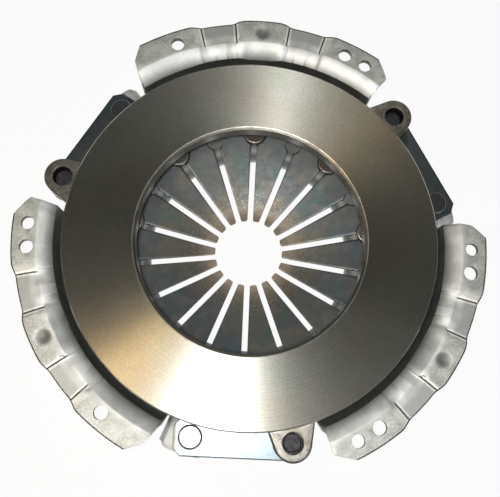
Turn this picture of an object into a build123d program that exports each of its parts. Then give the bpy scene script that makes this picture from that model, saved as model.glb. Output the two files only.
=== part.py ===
"""Clutch cover assembly with a diaphragm spring, for a 240 mm class driven plate.

The frame stands on the clutch axis. Z points at the flywheel, and Z = 0 is the plane of the flange pads
that bolt to it. Angles run counter-clockwise from +X, seen from the flywheel. The assembly is threefold:
three flange arcs, three lugs on the pressure plate and three packs of drive straps.
"""

from build123d import *
import os
from math import atan2, cos, degrees, radians, sin, tan

os.makedirs("parts", exist_ok=True)

FOLDS = 3
FOLD_ANGLE = 360 / FOLDS

# Small clearances between pieces that touch or pass through each other
SEAT_GAP = 0.05
SHANK_GAP = 0.10

# Pressure plate: cast iron ring, ground on its friction face
FACE_DIAMETER = 245.0
FACE_INNER_DIAMETER = 153.6
FACE_RECESS = 5.5
RIM_CHAMFER = 0.8
BORE_CHAMFER = 2.1
BORE_DEPTH = 10.0
RIM_THICKNESS = 14.5
RIDGE_WIDTH = 7.0
RIDGE_SETBACK = 1.5
RIDGE_CROWN = 1.75
RIDGE_LIFT = 0.3
VENTS_PER_FOLD = 4
VENT_WIDTH = 9.0
VENT_DEPTH = 7.0
LUG_ANGLE = 41.0
LUG_REACH = 8.8
LUG_BOSS_DIAMETER = 24.0
LUG_DROP = 2.9
LUG_HEIGHT = 17.6
WEB_CORNER_DIAMETER = 3.0
WEB_TRAILING_ANGLE = 7.5
WEB_LEADING_ANGLE = 6.0
LUG_COUNTERBORE_DIAMETER = 12.8
LUG_COUNTERBORE_DEPTH = 9.0

# Diaphragm spring: one conical steel disc, slotted into fingers
SPRING_SETBACK = 8.0
SPRING_TIP_DIAMETER = 47.6
SPRING_THICKNESS = 2.6
SPRING_CONE_ANGLE = 13.0
SPRING_RECESS = 34.4
FINGERS = 18
SLOT_WIDTH = 4.0
WINDOW_DIAMETER = 11.0
SLOT_ANGLE = 7.0
TIP_FLAT_LENGTH = 6.0

# Fulcrum: two wire rings held round the spring by nine shouldered studs
STUDS = 9
STUD_SETBACK = 6.2
STUD_HEAD_DIAMETER = 16.5
STUD_HEAD_THICKNESS = 3.0
STUD_SHOULDER_DIAMETER = 9.0
STUD_SHANK_DIAMETER = 7.0
STUD_CLOSED_DIAMETER = 12.0
STUD_CLOSED_THICKNESS = 2.6
STUD_HEAD_CLEARANCE = 4.0
HEAD_CHAMFER = 0.8
WIRE_DIAMETER = 4.0

# Drive straps: packs of flat spring steel leaves
LEAVES = 3
LEAF_THICKNESS = 1.0
LEAF_WIDTH = 24.0
LEAF_LENGTH = 64.0
LEAF_END = 11.0
LEAF_CLIP = 5.0
STRAP_SHANK_DIAMETER = 8.0
COVER_RIVET_HEAD_DIAMETER = 15.6
COVER_RIVET_HEAD_THICKNESS = 2.4
STRAP_CLOSED_DIAMETER = 14.0
STRAP_CLOSED_THICKNESS = 3.0
COUNTERBORE_GAP = 0.3

# Cover: deep drawn steel pressing, drawn outwards from the plate and spring it holds
SHEET = 4.0
BOLT_HOLE_SETBACK = 20.0
FLANGE_MARGIN = 9.5
WALL_GAP = 4.0
WALL_STRAIGHT_DEPTH = 24.0
FLANGE_BEND = 8.0
KNEE_BEND = 14.0
SHOULDER_BEND = 5.0
SHOULDER_GAP = 3.5
SHOULDER_RISE = 2.7
SEAT_WIDTH = 14.0
SEAT_BEND = 12.0
OPENING_SETBACK = 13.2
COLLAR_BEND = 7.5
COLLAR_HEIGHT = 12.4
NOTCH_SETBACK = 5.0
SHELF_MARGIN = 11.7
SHELF_ROOT_SETBACK = 0.5
SHELF_BEND = 4.0
SHELF_START_ANGLE = 4.2
SHELF_SPAN = 13.3

# Ends of each flange arc: where the rim stops, where the corner is cut and where the wall stops
CORNER_SETBACK = 8.5
SINGLE_RIM_ANGLE = 119.4
SINGLE_CORNER_ANGLE = 122.7
SINGLE_WALL_ANGLE = 124.2
PAIR_RIM_ANGLE = 54.6
PAIR_CORNER_ANGLE = 49.7
PAIR_WALL_ANGLE = 50.2

# Flange pads stand proud of the lowered sections between them; a section's ramps have a start and an end angle
PAD_STEP = 1.2
SECTION_SETBACK = 2.0
LOWERED_SECTIONS = ((66.8, 69.9, 79.2, 80.4), (92.6, 93.8, 102.7, 105.7))
DIMPLE_ANGLE = 86.4
DIMPLE_OFFSET = 0.7
DIMPLE_DIAMETER = 9.4
DIMPLE_DEPTH = 1.4

# Holes in the flange, all on one circle
BOLT_HOLE_DIAMETER = 9.0
BOLT_ANGLES = (62.8, 110.1)
DOWEL_HOLE_DIAMETER = 8.5
DOWEL_ANGLE = 56.6
LOCATOR_HOLE_DIAMETER = 8.0
LOCATOR_ANGLE = 356.3

# Radii worked outwards and inwards from the friction face
face_radius = FACE_DIAMETER / 2
face_inner_radius = FACE_INNER_DIAMETER / 2
lug_circle_radius = face_radius + LUG_REACH
wall_radius = face_radius + WALL_GAP
hole_circle_radius = face_radius + BOLT_HOLE_SETBACK
flange_radius = hole_circle_radius + FLANGE_MARGIN
spring_radius = face_radius - SPRING_SETBACK
shoulder_radius = spring_radius + SHOULDER_GAP
notch_radius = shoulder_radius - NOTCH_SETBACK
stud_circle_radius = face_inner_radius + STUD_SETBACK
seat_outer_radius = stud_circle_radius + SEAT_WIDTH
opening_radius = stud_circle_radius - OPENING_SETBACK

# Heights worked out from the sizes above
face_z = -FACE_RECESS
lug_top_z = face_z - LUG_DROP
lug_bottom_z = lug_top_z - LUG_HEIGHT
rim_bottom_z = face_z - RIM_THICKNESS
strap_top_z = lug_bottom_z
strap_bottom_z = strap_top_z - LEAVES * LEAF_THICKNESS
shelf_z = strap_bottom_z
cone_slope = tan(radians(SPRING_CONE_ANGLE))
cone_cos = cos(radians(SPRING_CONE_ANGLE))
spring_drop = SPRING_THICKNESS / cone_cos
ring_radius = stud_circle_radius + STUD_SHOULDER_DIAMETER / 2 + SEAT_GAP + WIRE_DIAMETER / 2
ring_reach = (WIRE_DIAMETER / 2 + SEAT_GAP) / cone_cos


def spring_top(radius):
    """Height of the spring's flywheel-side surface at a radius."""
    return face_z - SPRING_RECESS + (radius - stud_circle_radius) * cone_slope


front_ring_z = spring_top(ring_radius) + ring_reach
rear_ring_z = spring_top(ring_radius) - spring_drop - ring_reach
stud_head_z = front_ring_z + WIRE_DIAMETER / 2 + SEAT_GAP
seat_z = rear_ring_z - WIRE_DIAMETER / 2 - SEAT_GAP


def radial_plane(angle):
    """Upright plane through the clutch axis: its x runs outwards at the angle and its y runs up."""
    turn = radians(angle)
    return Plane(origin=(0, 0, 0), x_dir=(cos(turn), sin(turn), 0), z_dir=(sin(turn), -cos(turn), 0))


def polar(radius, angle):
    """Point in the XY plane from a radius and an angle in degrees."""
    return (radius * cos(radians(angle)), radius * sin(radians(angle)))


# The strap's chord joins its two rivets at equal radii, so its half angle fixes the cover rivet
strap_span = 2 * degrees(atan2(LEAF_LENGTH / 2, (lug_circle_radius**2 - (LEAF_LENGTH / 2) ** 2) ** 0.5))
strap_rivet_angle = LUG_ANGLE - strap_span


# ---------------------------------------------------------------- pressure plate

bore_radius = face_inner_radius - BORE_CHAMFER
bore_back_z = face_z - BORE_DEPTH
ridge_outer_radius = spring_radius - RIDGE_SETBACK
ridge_inner_radius = ridge_outer_radius - RIDGE_WIDTH
ridge_tip_radius = ridge_outer_radius - RIDGE_WIDTH / 2
ridge_z = spring_top(ridge_tip_radius) + RIDGE_LIFT
stud_clear_radius = stud_circle_radius + STUD_HEAD_DIAMETER / 2 + STUD_HEAD_CLEARANCE

with BuildPart() as pressure_plate:
    with BuildSketch(Plane.XZ):
        with BuildLine():
            Polyline(
                (bore_radius + BORE_CHAMFER, face_z),
                (face_radius - RIM_CHAMFER, face_z),
                (face_radius, face_z - RIM_CHAMFER),
                (face_radius, rim_bottom_z),
                (ridge_outer_radius, rim_bottom_z),
                (ridge_outer_radius, ridge_z + RIDGE_CROWN),
                (ridge_tip_radius, ridge_z),
                (ridge_inner_radius, ridge_z + RIDGE_CROWN),
                (ridge_inner_radius, rim_bottom_z),
                (stud_clear_radius, rim_bottom_z),
                (bore_radius + BORE_CHAMFER, bore_back_z - BORE_CHAMFER / 2),
                (bore_radius, bore_back_z),
                (bore_radius, face_z - BORE_CHAMFER / 2),
                close=True,
            )
        make_face()
    revolve(axis=Axis.Z)
    # Webs run from each lug to the rim, at the height of the lug's face
    with BuildSketch(Plane.XY.offset(lug_top_z)):
        for fold in range(FOLDS):
            centre = LUG_ANGLE + fold * FOLD_ANGLE
            with BuildSketch(mode=Mode.PRIVATE) as web:
                with Locations(polar(lug_circle_radius, centre)):
                    Circle(LUG_BOSS_DIAMETER / 2)
                with Locations(
                    polar(face_radius - WEB_CORNER_DIAMETER, centre + WEB_TRAILING_ANGLE),
                    polar(face_radius - WEB_CORNER_DIAMETER, centre - WEB_LEADING_ANGLE),
                ):
                    Circle(WEB_CORNER_DIAMETER / 2)
                make_hull()
            add(web.sketch)
    extrude(amount=rim_bottom_z - lug_top_z)
    with BuildSketch(Plane.XY.offset(lug_top_z)):
        with PolarLocations(lug_circle_radius, FOLDS, start_angle=LUG_ANGLE):
            Circle(LUG_BOSS_DIAMETER / 2)
    extrude(amount=lug_bottom_z - lug_top_z)
    # Rivet holes, counterbored from the friction side
    with Locations(Plane.XY.offset(lug_top_z)):
        with PolarLocations(lug_circle_radius, FOLDS, start_angle=LUG_ANGLE):
            CounterBoreHole(
                STRAP_SHANK_DIAMETER / 2 + SHANK_GAP,
                LUG_COUNTERBORE_DIAMETER / 2,
                LUG_COUNTERBORE_DEPTH,
                depth=LUG_HEIGHT,
            )
    # Air vents notch the ridge that the spring bears on
    with BuildSketch(Plane.XY.offset(ridge_z)):
        with PolarLocations(
            ridge_tip_radius, FOLDS * VENTS_PER_FOLD, start_angle=LUG_ANGLE + FOLD_ANGLE / VENTS_PER_FOLD / 2
        ):
            Rectangle(RIDGE_WIDTH * 2, VENT_WIDTH)
    extrude(amount=VENT_DEPTH, mode=Mode.SUBTRACT)
pressure_plate.part.label = "pressure_plate"


# ---------------------------------------------------------------- diaphragm spring

tip_radius = SPRING_TIP_DIAMETER / 2
tip_flat_radius = tip_radius + TIP_FLAT_LENGTH

with BuildPart() as diaphragm_spring:
    with BuildSketch(Plane.XZ):
        with BuildLine():
            Polyline(
                (tip_radius, spring_top(tip_flat_radius)),
                (tip_flat_radius, spring_top(tip_flat_radius)),
                (spring_radius, spring_top(spring_radius)),
                (spring_radius, spring_top(spring_radius) - spring_drop),
                (tip_flat_radius, spring_top(tip_flat_radius) - spring_drop),
                (tip_radius, spring_top(tip_flat_radius) - spring_drop),
                close=True,
            )
        make_face()
    revolve(axis=Axis.Z)
    # Every slot opens into a round window, and the studs pass through every other one
    with BuildSketch(Plane.XY.offset(spring_top(0) - SPRING_THICKNESS)):
        with PolarLocations(stud_circle_radius, FINGERS, start_angle=SLOT_ANGLE):
            Circle(WINDOW_DIAMETER / 2)
        with PolarLocations(stud_circle_radius / 2, FINGERS, start_angle=SLOT_ANGLE):
            Rectangle(stud_circle_radius, SLOT_WIDTH)
    extrude(amount=spring_top(spring_radius) - spring_top(0) + 2 * SPRING_THICKNESS, mode=Mode.SUBTRACT)
diaphragm_spring.part.label = "diaphragm_spring"


# ---------------------------------------------------------------- fulcrum rings

def wire_ring(height):
    """Closed ring of round wire at a height."""
    with BuildPart() as ring:
        with BuildSketch(Plane.XZ):
            with Locations((ring_radius, height)):
                Circle(WIRE_DIAMETER / 2)
        revolve(axis=Axis.Z)
    return ring.part


fulcrum_ring_front = wire_ring(front_ring_z)
fulcrum_ring_front.label = "fulcrum_ring_front"
fulcrum_ring_rear = wire_ring(rear_ring_z)
fulcrum_ring_rear.label = "fulcrum_ring_rear"


# ---------------------------------------------------------------- rivets

def stepped_rivet(place, steps):
    """Turned rivet about an upright axis at a place, from (radius, top, bottom) steps in order downwards.

    The outer edges of its first and last steps, which are its two heads, are chamfered.
    """
    with BuildPart() as rivet:
        for radius, top, bottom in steps:
            with BuildSketch(Plane.XY.offset(bottom)):
                with Locations(place):
                    Circle(radius)
            extrude(amount=top - bottom)
        rims = rivet.edges().filter_by(GeomType.CIRCLE).group_by(Axis.Z)
        chamfer(rims[-1], HEAD_CHAMFER)
        chamfer(rims[0], HEAD_CHAMFER)
    return rivet.part


seat_back_z = seat_z - SHEET
stud_steps = (
    (STUD_HEAD_DIAMETER / 2, stud_head_z + STUD_HEAD_THICKNESS, stud_head_z),
    (STUD_SHOULDER_DIAMETER / 2, stud_head_z, seat_z),
    (STUD_SHANK_DIAMETER / 2, seat_z, seat_back_z),
    (STUD_CLOSED_DIAMETER / 2, seat_back_z, seat_back_z - STUD_CLOSED_THICKNESS),
)
stud_rivets = []
for number in range(STUDS):
    place = polar(stud_circle_radius, SLOT_ANGLE + number * 360 / STUDS)
    stud = stepped_rivet(place, stud_steps)
    stud.label = f"stud_rivet_{number + 1}"
    stud_rivets.append(stud)

counterbore_floor_z = lug_top_z - LUG_COUNTERBORE_DEPTH
plate_rivet_steps = (
    (LUG_COUNTERBORE_DIAMETER / 2 - COUNTERBORE_GAP, counterbore_floor_z + STRAP_CLOSED_THICKNESS, counterbore_floor_z),
    (STRAP_SHANK_DIAMETER / 2, counterbore_floor_z, strap_bottom_z),
    (STRAP_CLOSED_DIAMETER / 2, strap_bottom_z, strap_bottom_z - STRAP_CLOSED_THICKNESS),
)
shelf_back_z = shelf_z - SHEET
cover_rivet_steps = (
    (COVER_RIVET_HEAD_DIAMETER / 2, strap_top_z + COVER_RIVET_HEAD_THICKNESS, strap_top_z),
    (STRAP_SHANK_DIAMETER / 2, strap_top_z, shelf_back_z),
    (STRAP_CLOSED_DIAMETER / 2, shelf_back_z, shelf_back_z - STRAP_CLOSED_THICKNESS),
)
strap_rivets = []
for fold in range(FOLDS):
    turn = fold * FOLD_ANGLE
    plate_rivet = stepped_rivet(polar(lug_circle_radius, LUG_ANGLE + turn), plate_rivet_steps)
    plate_rivet.label = f"plate_strap_rivet_{fold + 1}"
    cover_rivet = stepped_rivet(polar(lug_circle_radius, strap_rivet_angle + turn), cover_rivet_steps)
    cover_rivet.label = f"cover_strap_rivet_{fold + 1}"
    strap_rivets += [plate_rivet, cover_rivet]


# ---------------------------------------------------------------- drive straps

def strap_leaf(fold, layer):
    """One flat leaf: round under the lug, square with clipped corners on the cover's shelf."""
    lug = polar(lug_circle_radius, LUG_ANGLE + fold * FOLD_ANGLE)
    shelf = polar(lug_circle_radius, strap_rivet_angle + fold * FOLD_ANGLE)
    along = (shelf[0] - lug[0], shelf[1] - lug[1], 0)
    bottom = strap_top_z - (layer + 1) * LEAF_THICKNESS
    half = LEAF_WIDTH / 2
    end = LEAF_LENGTH + LEAF_END
    with BuildPart() as leaf:
        with BuildSketch(Plane(origin=(*lug, bottom), x_dir=along, z_dir=(0, 0, 1))):
            Circle(half)
            with BuildLine():
                Polyline(
                    (0, half),
                    (end - LEAF_CLIP, half),
                    (end, half - LEAF_CLIP),
                    (end, LEAF_CLIP - half),
                    (end - LEAF_CLIP, -half),
                    (0, -half),
                    close=True,
                )
            make_face()
            with Locations((0, 0), (LEAF_LENGTH, 0)):
                Circle(STRAP_SHANK_DIAMETER / 2 + SHANK_GAP, mode=Mode.SUBTRACT)
        extrude(amount=LEAF_THICKNESS)
    leaf.part.label = f"strap_{fold + 1}_leaf_{layer + 1}"
    return leaf.part


strap_leaves = [strap_leaf(fold, layer) for fold in range(FOLDS) for layer in range(LEAVES)]


# ---------------------------------------------------------------- cover

collar_z = seat_z - COLLAR_HEIGHT
shoulder_z = seat_z + SHOULDER_RISE
shelf_root_radius = shoulder_radius - SHELF_ROOT_SETBACK
shelf_radius = lug_circle_radius + SHELF_MARGIN
shelf_end_angle = SHELF_START_ANGLE + SHELF_SPAN
corner_radius = flange_radius - CORNER_SETBACK
lowered_radius = flange_radius - SECTION_SETBACK
past_flange = flange_radius + SHEET
far_out = 2 * flange_radius
window_middle_angle = (SINGLE_RIM_ANGLE + PAIR_RIM_ANGLE + FOLD_ANGLE) / 2
window_far_side = [
    (notch_radius, PAIR_WALL_ANGLE + FOLD_ANGLE),
    (wall_radius + SHEET, PAIR_WALL_ANGLE + FOLD_ANGLE),
    (corner_radius, PAIR_CORNER_ANGLE + FOLD_ANGLE),
    (flange_radius, PAIR_RIM_ANGLE + FOLD_ANGLE),
    (past_flange, PAIR_RIM_ANGLE + FOLD_ANGLE),
    (far_out, window_middle_angle),
]
window_corners = [
    *window_far_side,
    (past_flange, SINGLE_RIM_ANGLE),
    (flange_radius, SINGLE_RIM_ANGLE),
    (corner_radius, SINGLE_CORNER_ANGLE),
    (wall_radius + SHEET, SINGLE_WALL_ANGLE),
    (notch_radius, SINGLE_WALL_ANGLE),
]
notch_corners = [
    *window_far_side,
    (past_flange, shelf_end_angle + FOLD_ANGLE),
    (notch_radius, shelf_end_angle + FOLD_ANGLE),
]


def corner_outline(corners, turn):
    """Closed outline through (radius, angle) corners, turned about the clutch axis."""
    with BuildLine(mode=Mode.PRIVATE) as outline:
        Polyline(*[polar(radius, angle + turn) for radius, angle in corners], close=True)
    return outline.line


def ramped_block(angles, inner, outer, top):
    """Block one pad step deep between two radii, with ramps between its first two and its last two angles."""
    middle = (angles[0] + angles[-1]) / 2
    out = (*polar(1, middle), 0)
    along = (-out[1], out[0], 0)
    with BuildPart(mode=Mode.PRIVATE) as block:
        for radius in (inner, outer):
            start, foot, far_foot, end = [radius * tan(radians(angle - middle)) for angle in angles]
            with BuildSketch(Plane(origin=(*polar(radius, middle), top), x_dir=along, z_dir=out)):
                with BuildLine():
                    Polyline((start, 0), (end, 0), (far_foot, -PAD_STEP), (foot, -PAD_STEP), close=True)
                make_face()
        loft(ruled=True)
    return block.part


with BuildPart() as cover:
    # The whole pressing as one revolved sheet: flange, wall, dome, fulcrum seat and collar
    with BuildSketch(Plane.XZ):
        with BuildLine():
            FilletPolyline(
                (flange_radius, 0),
                (wall_radius, 0),
                (wall_radius, -WALL_STRAIGHT_DEPTH),
                (shoulder_radius, shoulder_z),
                (seat_outer_radius, seat_z),
                (opening_radius, seat_z),
                (opening_radius, collar_z),
                radius=[FLANGE_BEND, KNEE_BEND, SHOULDER_BEND, SEAT_BEND, COLLAR_BEND],
            )
            offset(amount=SHEET, side=Side.LEFT)
        make_face()
    revolve(axis=Axis.Z)
    # Windows part the flange into arcs, and between the shelves they notch the dome too
    with BuildSketch(Plane.XY.offset(collar_z)):
        for fold in range(FOLDS):
            add(corner_outline(window_corners, fold * FOLD_ANGLE))
            make_face()
        Circle(shelf_root_radius + SHEET / 2, mode=Mode.SUBTRACT)
    extrude(amount=SHEET - collar_z, mode=Mode.SUBTRACT)
    with BuildSketch(Plane.XY.offset(collar_z)):
        for fold in range(FOLDS):
            add(corner_outline(notch_corners, fold * FOLD_ANGLE))
            make_face()
        Circle(notch_radius, mode=Mode.SUBTRACT)
    extrude(amount=SHEET - collar_z, mode=Mode.SUBTRACT)
    # Shelves for the cover's end of the straps, each bent out from an upright that stands on the dome's edge
    for fold in range(FOLDS):
        with BuildSketch(radial_plane(SHELF_START_ANGLE + fold * FOLD_ANGLE)):
            with BuildLine():
                FilletPolyline(
                    (shelf_radius, shelf_z),
                    (shelf_root_radius, shelf_z),
                    (shelf_root_radius, shoulder_z - SHEET / 2),
                    radius=SHELF_BEND,
                )
                offset(amount=SHEET, side=Side.LEFT)
            make_face()
        revolve(axis=Axis.Z, revolution_arc=SHELF_SPAN)
    # Sections between the pads are pressed down one step, and are a little narrower
    for fold in range(FOLDS):
        for section in LOWERED_SECTIONS:
            angles = [angle + fold * FOLD_ANGLE for angle in section]
            add(ramped_block(angles, wall_radius, past_flange, 0), mode=Mode.SUBTRACT)
            add(ramped_block(angles, wall_radius + SHEET / 2, lowered_radius, -SHEET))
    with BuildSketch(Plane.XY.offset(-SHEET - PAD_STEP)):
        for fold in range(FOLDS):
            for _, foot, far_foot, _ in LOWERED_SECTIONS:
                add(corner_outline([(0, 0), (far_out, foot), (far_out, far_foot)], fold * FOLD_ANGLE))
                make_face()
        Circle(lowered_radius, mode=Mode.SUBTRACT)
    extrude(amount=2 * SHEET, mode=Mode.SUBTRACT)
    # The round dimple in the middle of each arc is pressed through: a pocket above and a bump below
    with BuildSketch(Plane.XY.offset(-SHEET)):
        with PolarLocations(hole_circle_radius + DIMPLE_OFFSET, FOLDS, start_angle=DIMPLE_ANGLE):
            Circle(DIMPLE_DIAMETER / 2)
    extrude(amount=-DIMPLE_DEPTH)
    with BuildSketch(Plane.XY):
        with PolarLocations(hole_circle_radius + DIMPLE_OFFSET, FOLDS, start_angle=DIMPLE_ANGLE):
            Circle(DIMPLE_DIAMETER / 2)
    extrude(amount=-DIMPLE_DEPTH, mode=Mode.SUBTRACT)
    # Bolt and dowel holes in the pads, and the one locating hole that keys the cover to its flywheel
    with BuildSketch(Plane.XY):
        for angle in BOLT_ANGLES:
            with PolarLocations(hole_circle_radius, FOLDS, start_angle=angle):
                Circle(BOLT_HOLE_DIAMETER / 2)
        with PolarLocations(hole_circle_radius, FOLDS, start_angle=DOWEL_ANGLE):
            Circle(DOWEL_HOLE_DIAMETER / 2)
        with Locations(polar(hole_circle_radius, LOCATOR_ANGLE)):
            Circle(LOCATOR_HOLE_DIAMETER / 2)
    extrude(amount=-2 * SHEET, mode=Mode.SUBTRACT)
    # Strap rivets pass through the shelves, and the studs through the fulcrum seat
    with BuildSketch(Plane.XY.offset(shelf_z)):
        with PolarLocations(lug_circle_radius, FOLDS, start_angle=strap_rivet_angle):
            Circle(STRAP_SHANK_DIAMETER / 2 + SHANK_GAP)
    extrude(amount=-SHEET, mode=Mode.SUBTRACT)
    with BuildSketch(Plane.XY.offset(seat_z)):
        with PolarLocations(stud_circle_radius, STUDS, start_angle=SLOT_ANGLE):
            Circle(STUD_SHANK_DIAMETER / 2 + SHANK_GAP)
    extrude(amount=-SHEET, mode=Mode.SUBTRACT)
cover.part.label = "cover"

for piece in (
    pressure_plate.part,
    diaphragm_spring.part,
    fulcrum_ring_front,
    fulcrum_ring_rear,
    *stud_rivets,
    *strap_rivets,
    *strap_leaves,
    cover.part,
):
    export_step(piece, f"parts/{piece.label}.step")
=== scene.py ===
"""Visual model of a clutch cover assembly with a diaphragm spring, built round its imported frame.

The frame stands on the clutch axis with Z toward the flywheel. Sizes below are millimetres and degrees,
and become metres where a mesh is made. Angles run counter-clockwise from +X, seen from the flywheel.
"""

import bmesh
import bpy
import numpy as np
from mathutils import Matrix, Vector


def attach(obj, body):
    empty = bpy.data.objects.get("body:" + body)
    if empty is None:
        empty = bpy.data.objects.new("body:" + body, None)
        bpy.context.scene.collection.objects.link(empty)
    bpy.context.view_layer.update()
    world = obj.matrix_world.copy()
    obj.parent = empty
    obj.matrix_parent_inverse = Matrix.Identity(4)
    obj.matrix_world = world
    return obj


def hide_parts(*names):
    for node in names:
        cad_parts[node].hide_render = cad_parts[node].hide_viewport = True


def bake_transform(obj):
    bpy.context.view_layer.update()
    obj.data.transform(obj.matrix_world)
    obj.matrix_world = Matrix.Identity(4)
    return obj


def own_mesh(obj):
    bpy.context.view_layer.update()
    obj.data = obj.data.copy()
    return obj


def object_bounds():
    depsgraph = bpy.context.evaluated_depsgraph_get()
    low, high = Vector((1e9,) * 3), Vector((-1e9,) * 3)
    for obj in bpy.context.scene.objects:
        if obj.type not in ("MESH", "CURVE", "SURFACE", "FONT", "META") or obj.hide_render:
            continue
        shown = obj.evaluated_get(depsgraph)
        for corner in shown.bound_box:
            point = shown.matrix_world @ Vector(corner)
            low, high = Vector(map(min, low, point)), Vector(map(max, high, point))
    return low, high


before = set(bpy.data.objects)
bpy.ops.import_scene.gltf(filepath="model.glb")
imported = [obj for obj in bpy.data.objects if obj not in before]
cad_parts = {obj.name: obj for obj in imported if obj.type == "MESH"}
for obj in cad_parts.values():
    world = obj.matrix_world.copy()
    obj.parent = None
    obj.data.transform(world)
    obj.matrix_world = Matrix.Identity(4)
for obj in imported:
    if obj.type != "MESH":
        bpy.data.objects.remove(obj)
cad_box = [list(corner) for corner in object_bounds()]
MM = 0.001

# ------------------------------------------------------------------ camera, floor and light
# The assembly lies on its collar with the friction face up. The camera looks down on it from a little south
# of the axis. The floor is white to the eye and to gloss, and dark only where the assembly shades it.

CAMERA_PLACE = (-15.0, -101.0, 420.5)
CAMERA_PITCH = -12.41
CAMERA_ROLL = 1.89
CAMERA_LENS, CAMERA_SENSOR, CAMERA_NEAREST = 48.7, 36.0, 10.0
FLOOR_REACH = 6000.0
FLOOR_COLOR = (0.92, 0.92, 0.92, 1.0)
BACKDROP_SHARE = 0.9

pitch, roll = np.radians(CAMERA_PITCH), np.radians(CAMERA_ROLL)
turn_x = np.array([[1, 0, 0], [0, np.cos(pitch), -np.sin(pitch)], [0, np.sin(pitch), np.cos(pitch)]])
turn_y = np.array([[np.cos(roll), 0, np.sin(roll)], [0, 1, 0], [-np.sin(roll), 0, np.cos(roll)]])
camera_axes = Matrix((turn_y @ turn_x).T.tolist()).to_4x4()
camera = bpy.data.objects.new("camera", bpy.data.cameras.new("camera"))
camera.data.sensor_width = CAMERA_SENSOR
camera.data.lens = CAMERA_LENS
camera.data.clip_start = CAMERA_NEAREST * MM
camera.matrix_world = Matrix.Translation(Vector(CAMERA_PLACE) * MM) @ camera_axes
bpy.context.scene.collection.objects.link(camera)
bpy.context.scene.camera = camera
bpy.context.scene.view_settings.view_transform = "Standard"


class Socket:
    """One shader socket. Arithmetic on it adds Math nodes to its tree."""

    def __init__(self, socket):
        self.socket = socket

    def node(self, kind, settings=None, inputs=None, output=0):
        """Adds any node: its settings first, then a value or a link for each named or numbered socket."""
        tree = self.socket.id_data
        made = tree.nodes.new(kind)
        for name, value in (settings or {}).items():
            setattr(made, name, value)
        for name, value in (inputs or {}).items():
            if isinstance(value, Socket):
                tree.links.new(value.socket, made.inputs[name])
            else:
                made.inputs[name].default_value = value
        return Socket(made.outputs[output]) if len(made.outputs) else made

    def math(self, operation, *others):
        return self.node("ShaderNodeMath", {"operation": operation}, dict(enumerate((self, *others))))

    def __add__(self, other):
        return self.math("ADD", other)

    def __sub__(self, other):
        return self.math("SUBTRACT", other)

    def __rsub__(self, other):
        return self * -1.0 + other

    def __mul__(self, other):
        return self.math("MULTIPLY", other)

    def __truediv__(self, other):
        return self.math("DIVIDE", other)

    __radd__ = __add__
    __rmul__ = __mul__


def rise(value, low, high):
    """0 below low, 1 above high, and a smooth rise between."""
    settings = {"interpolation_type": "SMOOTHSTEP"}
    return value.node("ShaderNodeMapRange", settings, {"Value": value, "From Min": low, "From Max": high})


def mixed(share, first, second):
    """First colour where the share is 0, second where it is 1."""
    first, second = ((*color, 1.0) if isinstance(color, tuple) else color for color in (first, second))
    return share.node("ShaderNodeMix", {"data_type": "RGBA"}, {0: share, 6: first, 7: second}, 2)


def new_finish(name):
    """An empty material, and the socket of its Object coordinates."""
    finish = bpy.data.materials.new(name)
    finish.use_nodes = True
    finish.node_tree.nodes.clear()
    return finish, Socket(finish.node_tree.nodes.new("ShaderNodeTexCoord").outputs["Object"])


floor_finish, place = new_finish("floor")
seen = place.node("ShaderNodeLightPath", None, None, "Is Camera Ray")
seen = seen.math("MAXIMUM", place.node("ShaderNodeLightPath", None, None, "Is Glossy Ray"))
seen = seen.math("MAXIMUM", place.node("ShaderNodeLightPath", None, None, "Is Transmission Ray"))
matte = place.node("ShaderNodeBsdfDiffuse", None, {"Color": FLOOR_COLOR})
glow = place.node("ShaderNodeEmission", None, {"Color": (1.0, 1.0, 1.0, 1.0), "Strength": 1.0})
floor_look = place.node("ShaderNodeMixShader", None, {0: seen * BACKDROP_SHARE, 1: matte, 2: glow})
place.node("ShaderNodeOutputMaterial", None, {"Surface": floor_look})

reach, floor_z = FLOOR_REACH * MM, cad_box[0][2]
floor_mesh = bpy.data.meshes.new("floor")
floor_corners = [(x * reach, y * reach, floor_z) for x, y in ((-1, -1), (1, -1), (1, 1), (-1, 1))]
floor_mesh.from_pydata(floor_corners, [], [(0, 1, 2, 3)])
floor_mesh.materials.append(floor_finish)
floor = bpy.data.objects.new("floor", floor_mesh)
bpy.context.scene.collection.objects.link(floor)

# The room is dim overhead and light round its sides, so that flats read dark and bends read bright
BELT_LIGHT = (0.30, 0.31, 0.29)
HORIZON_LIGHT = (0.30, 0.32, 0.30)
OVERHEAD_LIGHT = (0.034, 0.034, 0.031)
HORIZON_TOP, BELT_START, BELT_END, OVERHEAD_START = 0.06, 0.30, 0.40, 0.74
world = bpy.data.worlds.new("room")
bpy.context.scene.world = world
world.use_nodes = True
world.node_tree.nodes.clear()
outlook = Socket(world.node_tree.nodes.new("ShaderNodeTexCoord").outputs["Generated"])
skyward = outlook.node("ShaderNodeSeparateXYZ", None, {0: outlook}, 2)
sky = mixed(rise(skyward, HORIZON_TOP, BELT_START), HORIZON_LIGHT, BELT_LIGHT)
sky = mixed(rise(skyward, BELT_END, OVERHEAD_START), sky, OVERHEAD_LIGHT)
room = outlook.node("ShaderNodeBackground", None, {"Color": sky, "Strength": 1.0})
outlook.node("ShaderNodeOutputWorld", None, {"Surface": room})


def soft_lamp(name, centre, aim, size, power, color):
    """Rectangular lamp at a centre, in millimetres, turned to face its aim."""
    lamp = bpy.data.lights.new(name, "AREA")
    lamp.shape = "RECTANGLE"
    lamp.size, lamp.size_y = size[0] * MM, size[1] * MM
    lamp.energy = power
    lamp.color = color
    lit = bpy.data.objects.new(name, lamp)
    lit.location = Vector(centre) * MM
    lit.rotation_euler = (Vector(aim) - Vector(centre)).to_track_quat("-Z", "Y").to_euler()
    bpy.context.scene.collection.objects.link(lit)


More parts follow.
